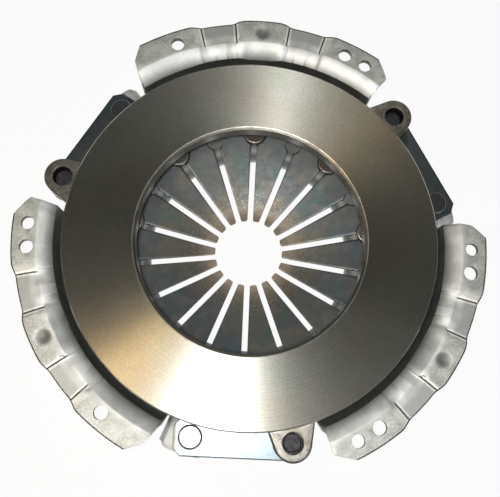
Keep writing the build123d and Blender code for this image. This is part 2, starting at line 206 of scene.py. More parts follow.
soft_lamp("camera_lamp", (-35, -108, 470), (-35, -107.9, 0), (45, 55), 1.75, (1.0, 0.99, 0.97))
soft_lamp("warm_lamp", (-200, -120, 470), (0, 0, 0), (70, 70), 0.42, (1.0, 0.66, 0.28))
soft_lamp("north_lamp", (78, 392, 470), (0, 0, 0), (40, 40), 0.24, (1.0, 1.0, 0.97))
soft_lamp("amber_lamp", (160, 255, 470), (0, 0, 0), (60, 60), 0.022, (1.0, 0.6, 0.25))
soft_lamp("east_fill", (600, -600, 650), (0, 0, 0), (900, 900), 1.0, (0.98, 1.0, 0.98))

# ------------------------------------------------------------------ pressure plate
# A cast iron ring, ground on its friction face and turned on its edges. Three lugs stand out of its rim, each
# bored and counterbored for the rivet that holds its straps. A ridge behind bears on the diaphragm spring.

FACE_INNER, FACE_OUTER, FACE_Z = 76.8, 122.5, -5.5
BORE_RADIUS, BORE_BACK, CLEAR_RADIUS = 74.7, -15.5, 95.25
RIM_CHAMFER, BORE_CHAMFER = 0.8, 2.1
RING_ROUNDS = (0.3, 0.25, 0.25, 1.2, 1.5, 0.8, 2.0, 0.8, 1.5, 3.0, 0.6, 0.6, 0.3)
PLATE_BACK = -20.0
RIDGE_INNER, RIDGE_OUTER, RIDGE_Z, RIDGE_CROWN = 106.0, 113.0, -33.48, 1.75
VENTS, VENT_HALF_WIDTH, VENT_DEPTH = 12, 4.5, 7.0
LUG_ANGLE, LUG_CIRCLE, LUG_RADIUS = 41.0, 131.3, 12.0
LUG_TOP, LUG_BOTTOM = -8.4, -26.0
COUNTERBORE_RADIUS, COUNTERBORE_FLOOR, COUNTERBORE_CHAMFER, RIVET_HOLE = 6.4, -17.4, 0.6, 4.1
WEB_ANGLES, WEB_CORNER_RADIUS = (7.5, -6.0), 1.5
# How far in, and how far down or up, the points of the rounded edges of a lug and its web lie
LUG_TOP_EDGE = ((0.0, 1.8), (0.15, 0.9), (0.45, 0.35), (1.0, 0.05), (1.6, 0.0))
LUG_BOTTOM_EDGE, WEB_BOTTOM_EDGE = ((1.6, 0.0), (0.4, 0.35), (0.0, 1.4)), ((0.3, 0.3), (0.0, 1.2))
# The lugs, the straps and the arcs of the cover repeat every third of a turn
THIRD = 120.0
GUARD_SHARE, GUARD_REACH, SEAM_WIDTH = 0.3, 0.5, 0.002
RING_COLUMNS, LUG_STEP, NORMAL_STEP, LEAST_COSINE = 432, 2.5, 0.5, 0.02


def rounded(corners, radii, steps=6, closed=True):
    """Outline with its corners turned into arcs, and a guard point a little way out from each end of an arc.

    An arc's centre lies on the corner's bisector, radius / sin(half angle) away. Its points are
    centre - radius * (cos(f) * bisector - sin(f) * across), as f swings between the two sides.
    """
    corners = np.array(corners, float)
    radii = np.broadcast_to(np.array(radii, float), len(corners))[:, None]
    before = np.roll(corners, 1, axis=0) - corners
    after = np.roll(corners, -1, axis=0) - corners
    before /= np.linalg.norm(before, axis=1, keepdims=True)
    after /= np.linalg.norm(after, axis=1, keepdims=True)
    bisector = before + after
    bisector /= np.linalg.norm(bisector, axis=1, keepdims=True)
    cos_half = (before * bisector).sum(axis=1, keepdims=True)
    sin_half = np.sqrt(1 - cos_half**2)
    across = (before - bisector * cos_half) / sin_half
    swing = np.linspace(1, -1, steps)[None, :, None] * np.arccos(sin_half)[:, None]
    centre = (corners + bisector * radii / sin_half)[:, None]
    arc = centre - radii[:, None] * (np.cos(swing) * bisector[:, None] - np.sin(swing) * across[:, None])
    guard = np.minimum(radii * GUARD_SHARE, GUARD_REACH)[:, None]
    guard_before, guard_after = arc[:, :1] + before[:, None] * guard, arc[:, -1:] + after[:, None] * guard
    points = np.concatenate([guard_before, arc, guard_after], axis=1)
    if closed:
        return points.reshape(-1, 2)
    return np.concatenate([corners[:1], points[1:-1].reshape(-1, 2), corners[-1:]])


def around(radius, angle, z):
    """Points from arrays of radius, angle in degrees and height."""
    radius, angle, z = np.broadcast_arrays(radius, np.radians(angle), z)
    return np.stack([radius * np.cos(angle), radius * np.sin(angle), z], axis=-1)


def lathe(profile, columns, centre=(0.0, 0.0)):
    """A profile of (radius, height) points turned once about an upright axis through the centre."""
    profile = np.array(profile, float)
    angles = np.arange(columns) * 360.0 / columns
    return around(profile[:, :1], angles[None, :], profile[:, 1:]) + np.array([*centre, 0.0])


def mesh_of(name, patches):
    """One mesh from grids of points.

    A patch is (points, rows closed, columns closed, finish number of each row). Four neighbours make a face.
    """
    vertices, quads, numbers, start = [], [], [], 0
    for points, rows_closed, columns_closed, number in patches:
        rows, columns = points.shape[:2]
        index = start + np.arange(rows * columns).reshape(rows, columns)
        index = np.vstack([index, index[:1]]) if rows_closed else index
        index = np.hstack([index, index[:, :1]]) if columns_closed else index
        quad = np.stack([index[:-1, :-1], index[:-1, 1:], index[1:, 1:], index[1:, :-1]], axis=-1)
        vertices.append(points.reshape(-1, 3) * MM)
        quads.append(quad.reshape(-1, 4))
        numbers.append(np.repeat(np.broadcast_to(number, quad.shape[0]), quad.shape[1]))
        start += rows * columns
    mesh = bpy.data.meshes.new(name)
    mesh.from_pydata(np.concatenate(vertices), [], np.concatenate(quads))
    mesh.polygons.foreach_set("material_index", np.concatenate(numbers).astype(np.int32))
    return mesh


def worked(mesh, modifiers=(), sheet=False):
    """The mesh with its seams merged, its faces turned out (up on a sheet) and its modifiers baked in."""
    work = bmesh.new()
    work.from_mesh(mesh)
    bmesh.ops.remove_doubles(work, verts=work.verts, dist=SEAM_WIDTH * MM)
    if not sheet:
        bmesh.ops.recalc_face_normals(work, faces=work.faces)
    elif sum(face.normal.z * face.calc_area() for face in work.faces) < 0:
        bmesh.ops.reverse_faces(work, faces=work.faces)
    work.to_mesh(mesh)
    work.free()
    holder = bpy.data.objects.new(mesh.name, mesh)
    bpy.context.scene.collection.objects.link(holder)
    for number, (kind, settings) in enumerate(modifiers):
        modifier = holder.modifiers.new(str(number), kind)
        for key, value in settings.items():
            setattr(modifier, key, value)
    baked = bpy.data.meshes.new_from_object(holder.evaluated_get(bpy.context.evaluated_depsgraph_get()))
    bpy.data.objects.remove(holder)
    return baked


def add_piece(name, meshes, finishes, body, nodes, crease=35.0):
    """A finished piece on its body: meshes joined, smooth up to the crease angle, standing for its nodes."""
    joined = bmesh.new()
    for mesh in meshes:
        joined.from_mesh(mesh)
    whole = bpy.data.meshes.new(name)
    joined.to_mesh(whole)
    joined.free()
    for finish in finishes:
        whole.materials.append(finish)
    whole.shade_smooth()
    whole.set_sharp_from_angle(angle=np.radians(crease))
    made = bpy.data.objects.new(name, whole)
    bpy.context.scene.collection.objects.link(made)
    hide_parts(*nodes)
    if body:
        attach(made, body)
    return made


def outline_reach(circles, angles):
    """Distance from the origin to the convex outline round some (x, y, radius) circles, in each direction.

    It is the least, over all normals n, of the circles' greatest reach along n divided by the cosine to n,
    where one circle reaches x * nx + y * ny + radius.
    """
    circles = np.array(circles, float)
    normals = np.radians(np.arange(0, 360, NORMAL_STEP))
    extent = (circles[:, :2] @ np.stack([np.cos(normals), np.sin(normals)]) + circles[:, 2:]).max(axis=0)
    cosine = np.cos(np.radians(angles)[:, None] - normals[None, :])
    return np.where(cosine > LEAST_COSINE, extent / np.maximum(cosine, LEAST_COSINE), np.inf).min(axis=1)


ring_profile = rounded(
    [
        (FACE_INNER, FACE_Z),
        (FACE_OUTER - RIM_CHAMFER, FACE_Z),
        (FACE_OUTER, FACE_Z - RIM_CHAMFER),
        (FACE_OUTER, PLATE_BACK),
        (RIDGE_OUTER, PLATE_BACK),
        (RIDGE_OUTER, RIDGE_Z + RIDGE_CROWN),
        ((RIDGE_INNER + RIDGE_OUTER) / 2, RIDGE_Z),
        (RIDGE_INNER, RIDGE_Z + RIDGE_CROWN),
        (RIDGE_INNER, PLATE_BACK),
        (CLEAR_RADIUS, PLATE_BACK),
        (FACE_INNER, BORE_BACK - BORE_CHAMFER / 2),
        (BORE_RADIUS, BORE_BACK),
        (BORE_RADIUS, FACE_Z - BORE_CHAMFER / 2),
    ],
    RING_ROUNDS,
)
ring_points = lathe(ring_profile, RING_COLUMNS)
ring_angles = np.arange(RING_COLUMNS) * 360.0 / RING_COLUMNS
# The ridge is cut down at the vents, whose sides slope over one millimetre
vent_step = 360.0 / VENTS
from_vent = np.abs((ring_angles - LUG_ANGLE) % vent_step - vent_step / 2)
vent_share = np.clip(VENT_HALF_WIDTH + 0.5 - np.radians(from_vent) * RIDGE_INNER, 0, 1)
heights = ring_points[:, :, 2]
heights += np.maximum(RIDGE_Z + VENT_DEPTH - heights, 0) * vent_share
# The face is the flat between the arcs of the first two corners: the seventh row to the ninth
face_rows = np.ones(len(ring_profile), int)
face_rows[6:9] = 0

lug_patches = []
for fold in range(3):
    lug_angle = LUG_ANGLE + THIRD * fold
    centre = around(LUG_CIRCLE, lug_angle, 0.0)
    spread = np.arange(0, 360, LUG_STEP)
    web_foot = FACE_OUTER - 2 * WEB_CORNER_RADIUS
    feet = [around(web_foot, lug_angle + angle, 0.0) - centre for angle in WEB_ANGLES]
    web_corners = [(foot[0], foot[1], WEB_CORNER_RADIUS) for foot in feet]
    outline = outline_reach([(0, 0, LUG_RADIUS), *web_corners], spread)
    boss = np.full(len(spread), LUG_RADIUS)
    sink, hole = np.full(len(spread), COUNTERBORE_RADIUS), np.full(len(spread), RIVET_HOLE)
    # Rows run from the rivet hole out under the boss, up its side and the web's, and in over the top
    lug_rows = [
        (hole, LUG_BOTTOM),
        *[(boss - inward, LUG_BOTTOM + up) for inward, up in LUG_BOTTOM_EDGE],
        (boss, PLATE_BACK - 0.4),
        (np.maximum(outline - 1.0, boss), PLATE_BACK),
        *[(outline - inward, PLATE_BACK + up) for inward, up in WEB_BOTTOM_EDGE],
        *[(outline - inward, LUG_TOP - down) for inward, down in LUG_TOP_EDGE],
        (sink + 1.0, LUG_TOP),
        (sink + COUNTERBORE_CHAMFER, LUG_TOP),
        (sink, LUG_TOP - COUNTERBORE_CHAMFER),
        (sink, COUNTERBORE_FLOOR),
        (hole, COUNTERBORE_FLOOR),
    ]
    lug_radii = np.stack([radius for radius, _ in lug_rows])
    lug_heights = np.array([height for _, height in lug_rows])[:, None]
    # All of it is as cast but the counterbore's chamfer, the fourth row from the end
    lug_numbers = np.zeros(len(lug_rows), int)
    lug_numbers[-4] = 1
    lug_patches.append((around(lug_radii, spread[None, :], lug_heights) + centre, True, True, lug_numbers))


def axes(place):
    """The point's own place in millimetres: x, y, z and its distance from the clutch axis."""
    x, y, z = [place.node("ShaderNodeSeparateXYZ", None, {0: place}, axis) / MM for axis in range(3)]
    return x, y, z, (x * x + y * y).math("SQRT")


def cloud(place, size, detail=3.0, rough=0.5):
    """Noise from 0 to 1 through space, its largest lumps one size across in millimetres."""
    inputs = {"Vector": place, "Scale": 1 / (size * MM), "Detail": detail, "Roughness": rough}
    return place.node("ShaderNodeTexNoise", None, inputs)


def rings(distance, size, detail=2.0, rough=0.6):
    """Noise from 0 to 1 along one distance in millimetres, one size to a lump."""
    inputs = {"W": distance, "Scale": 1 / size, "Detail": detail, "Roughness": rough}
    return distance.node("ShaderNodeTexNoise", {"noise_dimensions": "1D"}, inputs)


def uprightness(place):
    """1 where the surface faces up, 0 where it is a wall, and -1 where it faces down."""
    facing = place.node("ShaderNodeNewGeometry", None, None, "Normal")
    return place.node("ShaderNodeSeparateXYZ", None, {0: facing}, 2)


def surface(place, **inputs):
    """Joins a principled shader with these sockets to the material's output."""
    sockets = {name.replace("_", " "): value for name, value in inputs.items()}
    shader = place.node("ShaderNodeBsdfPrincipled", None, sockets)
    place.node("ShaderNodeOutputMaterial", None, {"Surface": shader})


def relief(height, depth, strength=1.0):
    """Normal of a bumpy surface whose height runs from 0 to one depth, in millimetres."""
    inputs = {"Strength": strength, "Distance": depth * MM, "Height": height}
    return height.node("ShaderNodeBump", None, inputs)


FINE_GROOVE, WIDE_GROOVE = 0.04, 0.8


def circular_lay(x, y, radius, fine_tip, wide_tip):
    """Normal tipped along the radius by grooves that run round the clutch axis, some finer than the eye.

    It is the plain normal plus (x, y, 0) / radius times the tips, made one long again.
    """
    fine, wide = rings(radius, FINE_GROOVE) - 0.5, rings(radius, WIDE_GROOVE) - 0.5
    tip = (fine * fine_tip + wide * wide_tip) / radius
    lean = x.node("ShaderNodeCombineXYZ", None, {0: x * tip, 1: y * tip, 2: 0.0})
    plain = x.node("ShaderNodeNewGeometry", None, None, "Normal")
    leaning = x.node("ShaderNodeVectorMath", {"operation": "ADD"}, {0: plain, 1: lean})
    return x.node("ShaderNodeVectorMath", {"operation": "NORMALIZE"}, {0: leaning})


# Grinding leaves grooves round the axis, so gloss spreads along the radius, which is a quarter turn from the
# shader's own lay
GROUND_STEEL, GROUND_DARK = (0.38, 0.378, 0.345), (0.18, 0.179, 0.155)
GROUND_BROWN, GROUND_GREEN = (0.34, 0.295, 0.24), (0.32, 0.345, 0.285)
ground, place = new_finish("ground_face")
x, y, _, radius = axes(place)
warmth = rise(cloud(place, 55.0, 2.0), 0.38, 0.68)
greenness = rise(cloud(place, 21.0, 3.0), 0.45, 0.7)
face_color = mixed(greenness * 0.5, mixed(warmth * 0.6, GROUND_STEEL, GROUND_BROWN), GROUND_GREEN)
speck = rings(radius, 0.5, 3.0, 0.7) * 0.5 + cloud(place, 1.0, 3.0, 0.7) * 0.5
face_color = mixed(rise(speck, 0.42, 0.62) * 0.45, face_color, GROUND_DARK)
surface(place, Base_Color=face_color, Metallic=1.0, Roughness=0.335 + cloud(place, 1.2) * 0.06,
        Anisotropic=0.85, Anisotropic_Rotation=0.25, Normal=circular_lay(x, y, radius, 0.25, 0.1))

TURNED_IRON, TURNED_DARK, CHAMFER_SHADE_BLACK = (0.40, 0.39, 0.36), (0.20, 0.185, 0.16), (0.09, 0.088, 0.08)
CHAMFER_FOOT, CHAMFER_TOP, CHAMFER_RADII = (-7.0, -6.5), (-5.9, -5.6), (80.0, 81.0)
turned, place = new_finish("turned_iron")
_, _, z, radius = axes(place)
tarnish = rise(cloud(place, 12.0, 4.0, 0.6), 0.42, 0.75)
# Painted shade: the bore's chamfer just below the face is darkened almost to black
shaded_chamfer = rise(z, *CHAMFER_FOOT) * (1 - rise(z, *CHAMFER_TOP)) * (1 - rise(radius, *CHAMFER_RADII))
lathe_lines = rise(rings(z + radius, 0.45, 1.0), 0.35, 0.65)
turned_color = mixed(tarnish * 0.5 + lathe_lines * 0.3, TURNED_IRON, TURNED_DARK)
surface(place, Base_Color=mixed(shaded_chamfer * 0.9, turned_color, CHAMFER_SHADE_BLACK), Metallic=1.0,
        Roughness=0.36 + tarnish * 0.18, Normal=relief(rings(z, 0.5), 0.01, 0.5))

CAST_GREY, CAST_BROWN, CAST_DARK_AND_SHADE = (0.25, 0.247, 0.225), (0.165, 0.152, 0.125), (0.045, 0.043, 0.039)
cast, place = new_finish("cast_iron")
grain = cloud(place, 1.5, 5.0, 0.65)
cast_color = mixed(rise(cloud(place, 7.0, 4.0, 0.6), 0.42, 0.66), CAST_GREY, CAST_BROWN)
cast_color = mixed(rise(grain, 0.52, 0.72) * 0.7, cast_color, CAST_DARK_AND_SHADE)
# Painted shade: where the cast iron faces sideways or down its colour turns dark; the same dark tone also
# marks the grain above
cast_color = mixed(rise(uprightness(place), 0.7, 0.97), CAST_DARK_AND_SHADE, cast_color)
surface(place, Base_Color=cast_color, Metallic=0.8, Roughness=0.25 + grain * 0.22,
        Normal=relief(grain, 0.3, 0.8))

ring = worked(mesh_of("ring", [(ring_points, True, True, face_rows)]))
add_piece("pressure_plate_ring", [ring], [ground, turned], "pressure_plate", ["pressure_plate"])
lugs = worked(mesh_of("lugs", lug_patches))
add_piece("pressure_plate_lugs", [lugs], [cast, turned], "pressure_plate", ["pressure_plate"])

# ------------------------------------------------------------------ diaphragm spring
# One coned disc of spring steel, hardened and tempered to a dark blue grey. Eighteen slots part its middle
# into fingers, and each slot ends in a round window. The release bearing polishes the fingertips.

SPRING_RIM, SPRING_TIP, SPRING_THICKNESS = 114.5, 23.8, 2.668
CONE_RADIUS, CONE_Z, CONE_SLOPE = 83.0, -39.9, np.tan(np.radians(13.0))
FINGERS, FIRST_SLOT_ANGLE, SLOT_HALF = 18, 7.0, 2.0
WINDOW_RADIUS, TIP_FLAT_RADIUS, TIP_BLEND, TIP_CORNER = 5.5, 29.8, 3.5, 1.0
SPRING_EDGE, SHARPEST_BEND = 0.3, 55.0

window_start = CONE_RADIUS - np.sqrt(WINDOW_RADIUS**2 - SLOT_HALF**2)
window_turn = np.linspace(np.arccos((CONE_RADIUS - window_start) / WINDOW_RADIUS), np.pi, 16)
spring_radii = np.concatenate(
    [
        SPRING_TIP + TIP_CORNER * (1 - np.cos(np.linspace(0, np.pi / 2, 6))),
        np.linspace(SPRING_TIP + TIP_CORNER, TIP_FLAT_RADIUS, 4)[1:],
        np.linspace(TIP_FLAT_RADIUS, window_start, 24)[1:-1],
        CONE_RADIUS - WINDOW_RADIUS * np.cos(window_turn),
        np.linspace(CONE_RADIUS + WINDOW_RADIUS, SPRING_RIM, 11)[1:],
    ]
)[:, None]
past_tip = spring_radii - TIP_FLAT_RADIUS
cone_reach = TIP_FLAT_RADIUS + (past_tip + np.hypot(past_tip, TIP_BLEND)) / 2
cone_z = CONE_Z + (cone_reach - CONE_RADIUS) * CONE_SLOPE
window_gap = np.sqrt(np.maximum(WINDOW_RADIUS**2 - (spring_radii - CONE_RADIUS) ** 2, 0))
slot_gap = np.where(spring_radii < window_start, SLOT_HALF, window_gap)
into_tip = np.clip((SPRING_TIP + TIP_CORNER - spring_radii) / TIP_CORNER, 0, 1)
slot_gap = slot_gap + TIP_CORNER * (1 - np.sqrt(1 - into_tip**2))
finger_half = 180.0 / FINGERS - np.degrees(np.arcsin(slot_gap / spring_radii))
across = np.linspace(-1, 1, 13)[None, :]
finger_middles = FIRST_SLOT_ANGLE + (np.arange(FINGERS) + 0.5) * 360.0 / FINGERS
finger_patches = [
    (around(spring_radii, middle + across * finger_half, cone_z), False, False, 0)
    for middle in finger_middles
]


def sheet_metal(thickness, edge):
    """Modifiers that thicken a surface away from its face and break edges past the sharpest bend."""
    limit = {"limit_method": "ANGLE", "angle_limit": np.radians(SHARPEST_BEND)}
    return [
        ("SOLIDIFY", {"thickness": thickness * MM, "offset": -1.0, "use_even_offset": True}),
        ("BEVEL", {"width": edge * MM, "segments": 2, **limit}),
    ]


# The temper's colour at each distance from the axis, and the sizes and colours of the clouds in its middle
TEMPER = (
    (24.0, (0.19, 0.16, 0.13)),
    (29.0, (0.17, 0.15, 0.125)),
    (42.0, (0.098, 0.098, 0.094)),
    (60.0, (0.078, 0.084, 0.086)),
    (76.0, (0.064, 0.071, 0.074)),
    (112.0, (0.055, 0.06, 0.065)),
)
TEMPER_TINTS = (
    (30.0, (0.13, 0.115, 0.085)),
    (22.0, (0.055, 0.085, 0.12)),
    (14.0, (0.055, 0.095, 0.09)),
    (11.0, (0.125, 0.115, 0.10)),
)
TIP_SPECKLE, SPECKLE_RADII = (0.33, 0.27, 0.19), (36.0, 52.0)
MIDDLE_START, MIDDLE_END, TEMPER_DRIFT = (30.0, 40.0), (68.0, 82.0), 14.0
tempered, place = new_finish("tempered_spring")
radius = axes(place)[3]
drift = radius + (cloud(place, 20.0, 3.0) - 0.5) * TEMPER_DRIFT
temper_color = TEMPER[0][1]
for (low, _), (high, color) in zip(TEMPER, TEMPER[1:]):
    temper_color = mixed(rise(drift, low, high), temper_color, color)
in_middle = rise(radius, *MIDDLE_START) * (1 - rise(radius, *MIDDLE_END))
for size, color in TEMPER_TINTS:
    temper_color = mixed(rise(cloud(place, size, 2.0), 0.46, 0.66) * in_middle * 0.55, temper_color, color)
smudge = cloud(place, 5.0, 5.0, 0.65)
speckle = rise(cloud(place, 1.1, 3.0, 0.7), 0.50, 0.66) * (1 - rise(drift, *SPECKLE_RADII))
temper_color = mixed(speckle * 0.6, temper_color, TIP_SPECKLE)
surface(place, Base_Color=temper_color, Metallic=0.75, Roughness=0.32 + smudge * 0.25,
        Normal=relief(smudge, 0.08))

disc = worked(mesh_of("disc", finger_patches), sheet_metal(SPRING_THICKNESS, SPRING_EDGE), True)
spring = add_piece("diaphragm_spring_disc", [disc], [tempered], "cover", ["diaphragm_spring"])
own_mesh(spring)

# ------------------------------------------------------------------ fulcrum rings
# Two rings of round drawn steel wire, bent round and closed. One lies on either side of the spring, which
# rocks on them, and the studs hold them in place.

WIRE_CIRCLE, WIRE_RADIUS = 89.55, 2.0
WIRE_HEIGHTS = {"fulcrum_ring_front": -36.28, "fulcrum_ring_rear": -43.16}
WIRE_STEP, WIRE_COLUMNS = 20, 240
WIRE_LIGHT, WIRE_DARK = (0.34, 0.33, 0.32), (0.16, 0.15, 0.14)

wire, place = new_finish("drawn_wire")
surface(place, Base_Color=mixed(rise(cloud(place, 8.0), 0.4, 0.7), WIRE_LIGHT, WIRE_DARK), Metallic=1.0,
        Roughness=0.3 + cloud(place, 3.0) * 0.15)

wire_turn = np.radians(np.arange(0, 360, WIRE_STEP))
wire_section = WIRE_RADIUS * np.stack([np.cos(wire_turn), np.sin(wire_turn)], axis=1)
for ring_name, ring_z in WIRE_HEIGHTS.items():
    wire_grid = lathe(wire_section + [WIRE_CIRCLE, ring_z], WIRE_COLUMNS)
    wire_ring = worked(mesh_of(ring_name, [(wire_grid, True, True, 0)]))
    add_piece(ring_name + "_wire", [wire_ring], [wire], "cover", [ring_name])

# ------------------------------------------------------------------ shouldered studs
# Nine turned and plated studs stand in every other window. Each is closed over behind the cover, and its
# broad head holds the rings and the spring to the seat.

STUD_CIRCLE, STUDS = 83.0, 9
# Radius and height from the head's top to the closed head's end, and how far each corner is rounded
STUD_PROFILE = [
    (0, -31.23), (8.25, -31.23), (8.25, -34.23), (4.5, -34.23), (4.5, -45.21),
    (3.5, -45.21), (3.5, -49.21), (6.0, -49.21), (6.0, -51.81), (0, -51.81),
]
STUD_ROUNDS = [0.01, 1.1, 0.5, 0.3, 0.2, 0.2, 0.2, 0.5, 1.0, 0.01]
TURNED_STEPS, TURNED_COLUMNS = 5, 48
STUD_LIGHT, STUD_DARK = (0.25, 0.225, 0.21), (0.145, 0.135, 0.13)


def turned_parts(name, profile, rounds, centres):
    """A rounded profile, open on its own axis, turned about each of the centres. Its poles are merged."""
    section = rounded(profile, rounds, TURNED_STEPS, closed=False)
    grids = [(lathe(section, TURNED_COLUMNS, centre), False, True, 0) for centre in centres]
    return worked(mesh_of(name, grids))


plated, place = new_finish("plated_stud")
film = rise(cloud(place, 6.0, 3.0), 0.4, 0.7)
surface(place, Base_Color=mixed(film, STUD_LIGHT, STUD_DARK), Metallic=0.9,
        Roughness=0.36 + film * 0.12, Normal=relief(cloud(place, 0.9, 3.0), 0.05))

stud_angles = FIRST_SLOT_ANGLE + np.arange(STUDS) * 360.0 / STUDS
stud_centres = around(STUD_CIRCLE, stud_angles, 0.0)[:, :2]
studs = turned_parts("studs", STUD_PROFILE, STUD_ROUNDS, stud_centres)
stud_nodes = [f"stud_rivet_{number + 1}" for number in range(STUDS)]
add_piece("stud_rivet_set", [studs], [plated], "cover", stud_nodes)

# ------------------------------------------------------------------ drive straps and their rivets
# Three packs of three flat spring leaves pull the plate round and lift it off. One end of a pack is riveted
# into a lug's counterbore, the other to a shelf of the cover.

STRAP_TOP, LEAF_THICKNESS, LEAVES = -26.0, 1.0, 3
LEAF_HALF, LEAF_LENGTH, LEAF_END, LEAF_CLIP = 12.0, 64.0, 11.0, 5.0
SHELF_RIVET_ANGLE = LUG_ANGLE - 2 * np.degrees(np.arcsin(LEAF_LENGTH / 2 / LUG_CIRCLE))
# Radius and height down each rivet, and how far each corner is rounded
PLATE_RIVET = [
    (0, -14.4), (6.1, -14.4), (6.1, -17.4), (4.0, -17.4),
    (4.0, -29.0), (7.0, -29.0), (7.0, -32.0), (0, -32.0),
]
SHELF_RIVET = [
    (0, -23.6), (7.8, -23.6), (7.8, -26.0), (4.0, -26.0),
    (4.0, -33.0), (7.0, -33.0), (7.0, -36.0), (0, -36.0),
]
RIVET_ROUNDS = [0.01, 1.2, 0.3, 0.2, 0.2, 0.3, 1.0, 0.01]
LEAF_PLAY, LEAF_EDGE = 0.04, 0.35
# Places across a leaf from side to side, and the finish of each strip between them; the outer strips take a
# painted shade
LEAF_SIDES, STRIP_NUMBERS = (-1, -0.94, -0.5, 0, 0.5, 0.94, 1), (1, 0, 0, 0, 0, 1)
LEAF_BLUE, LEAF_GREY = (0.165, 0.21, 0.235), (0.205, 0.225, 0.22)
LEAF_SHADE_DARK, LEAF_SHADE_LIGHT = (0.02, 0.025, 0.04), (0.06, 0.065, 0.08)
SHADED_RIVET_COLORS = (0.055, 0.058, 0.07), (0.032, 0.032, 0.038)
RIVET_COLORS = (0.23, 0.25, 0.26), (0.175, 0.19, 0.195)

leaf_steel, place = new_finish("blued_leaf")
bloom = rise(cloud(place, 16.0, 3.0), 0.4, 0.68)
streak = cloud(place, 2.5, 4.0, 0.6)
surface(place, Base_Color=mixed(bloom, LEAF_BLUE, LEAF_GREY), Metallic=1.0, Roughness=0.30 + streak * 0.12,
        Normal=relief(streak, 0.06))

# Painted shade: a near-black line along both sides of each leaf
leaf_edge_shade, place = new_finish("leaf_edge_shade")
surface(place, Base_Color=mixed(cloud(place, 3.0), LEAF_SHADE_DARK, LEAF_SHADE_LIGHT), Metallic=0.9,
        Roughness=0.45)


def scuffed(name, size, limits, colors, metallic, roughness, gain, depth):
    """A finish whose colour, roughness and height follow one noise, the colour from first to second."""
    finish, place = new_finish(name)
    scuff = cloud(place, size, 4.0, 0.6)
    surface(place, Base_Color=mixed(rise(scuff, *limits), *colors), Metallic=metallic,
            Roughness=roughness + scuff * gain, Normal=relief(scuff, depth))
    return finish


# Painted shade: the plate's rivets, deep in the counterbores, are painted far darker than the cover's rivets
shaded_rivet = scuffed("shaded_rivet", 3.0, (0.4, 0.65), SHADED_RIVET_COLORS, 0.7, 0.45, 0.2, 0.10)
riveted = scuffed("rivet_steel", 3.0, (0.4, 0.65), RIVET_COLORS, 1.0, 0.26, 0.12, 0.10)

leaf_tip = LEAF_LENGTH + LEAF_END
clip_start = leaf_tip - LEAF_CLIP
round_end = LEAF_HALF * -np.cos(np.linspace(0, np.pi / 2, 12))
clipped_end = [leaf_tip - LEAF_CLIP / 2, leaf_tip]
along = np.concatenate([round_end, np.linspace(0, clip_start, 26)[1:], clipped_end])
leaf_half = np.sqrt(LEAF_HALF**2 - np.minimum(along, 0) ** 2) - np.maximum(along - clip_start, 0)
leaf_spread = (np.array(LEAF_SIDES)[:, None] * leaf_half)[:, :, None]
leaf_sheet = sheet_metal(LEAF_THICKNESS - LEAF_PLAY, LEAF_EDGE)
for fold in range(3):
    lug = around(LUG_CIRCLE, LUG_ANGLE + THIRD * fold, 0.0)
    shelf = around(LUG_CIRCLE, SHELF_RIVET_ANGLE + THIRD * fold, 0.0)
    ahead = (shelf - lug) / np.linalg.norm(shelf - lug)
    aside = np.array([-ahead[1], ahead[0], 0.0])
    flat = lug + along[:, None] * ahead + leaf_spread * aside
    leaf_tops = [flat + np.array([0, 0, STRAP_TOP - layer * LEAF_THICKNESS]) for layer in range(LEAVES)]
    leaves = [
        worked(mesh_of("leaf", [(top, False, False, STRIP_NUMBERS)]), leaf_sheet, True) for top in leaf_tops
    ]
    leaf_nodes = [f"strap_{fold + 1}_leaf_{leaf + 1}" for leaf in range(LEAVES)]
    pack = add_piece(f"drive_strap_pack_{fold + 1}", leaves, [leaf_steel, leaf_edge_shade], None, leaf_nodes)
    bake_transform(pack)

folds = THIRD * np.arange(3)
lug_centres = around(LUG_CIRCLE, LUG_ANGLE + folds, 0.0)[:, :2]
shelf_centres = around(LUG_CIRCLE, SHELF_RIVET_ANGLE + folds, 0.0)[:, :2]
plate_rivets = turned_parts("plate_rivets", PLATE_RIVET, RIVET_ROUNDS, lug_centres)
plate_rivet_nodes = [f"plate_strap_rivet_{fold + 1}" for fold in range(3)]
add_piece("plate_strap_rivet_set", [plate_rivets], [shaded_rivet], "pressure_plate", plate_rivet_nodes)
cover_rivets = turned_parts("cover_rivets", SHELF_RIVET, RIVET_ROUNDS, shelf_centres)
cover_rivet_nodes = [f"cover_strap_rivet_{fold + 1}" for fold in range(3)]
add_piece("cover_strap_rivet_set", [cover_rivets], [riveted], "cover", cover_rivet_nodes)

# ------------------------------------------------------------------ cover
# A deep drawn pressing of 4 mm sheet. Three flange arcs bolt to the flywheel on raised pads. Between them the
# edge is cut back to the dome for the lugs and straps, and a shelf beside each arc carries a strap's end.

SHEET = 4.0
FLANGE_RADIUS, LOWERED_RADIUS, WALL_TOP, WALL_FOOT, NOTCH_RADIUS = 152.0, 150.0, 127.8, 126.5, 113.0
FOOT_Z, SHOULDER, SEAT_OUTER, SEAT_Z = -24.0, (118.0, -42.51), 97.0, -45.21
OPENING_RADIUS, COLLAR_Z = 69.8, -57.61
COVER_BENDS = (1.0, 7.0, 14.0, 5.0, 12.0, 7.5, 1.0)
SHELF_RADIUS, SHELF_ROOT, SHELF_Z, SHELF_BEND = 143.0, 117.5, -29.0, 4.0
SHELF_ANGLES, SHELF_FLAT_ANGLE, SHELF_SIDE_DROP, SHELF_CORNER = (4.9, 17.5), 6.7, 6.0, 3.0
SHELF_TAIL, SHELF_EDGE = SHOULDER[1] - 2.0, 0.35
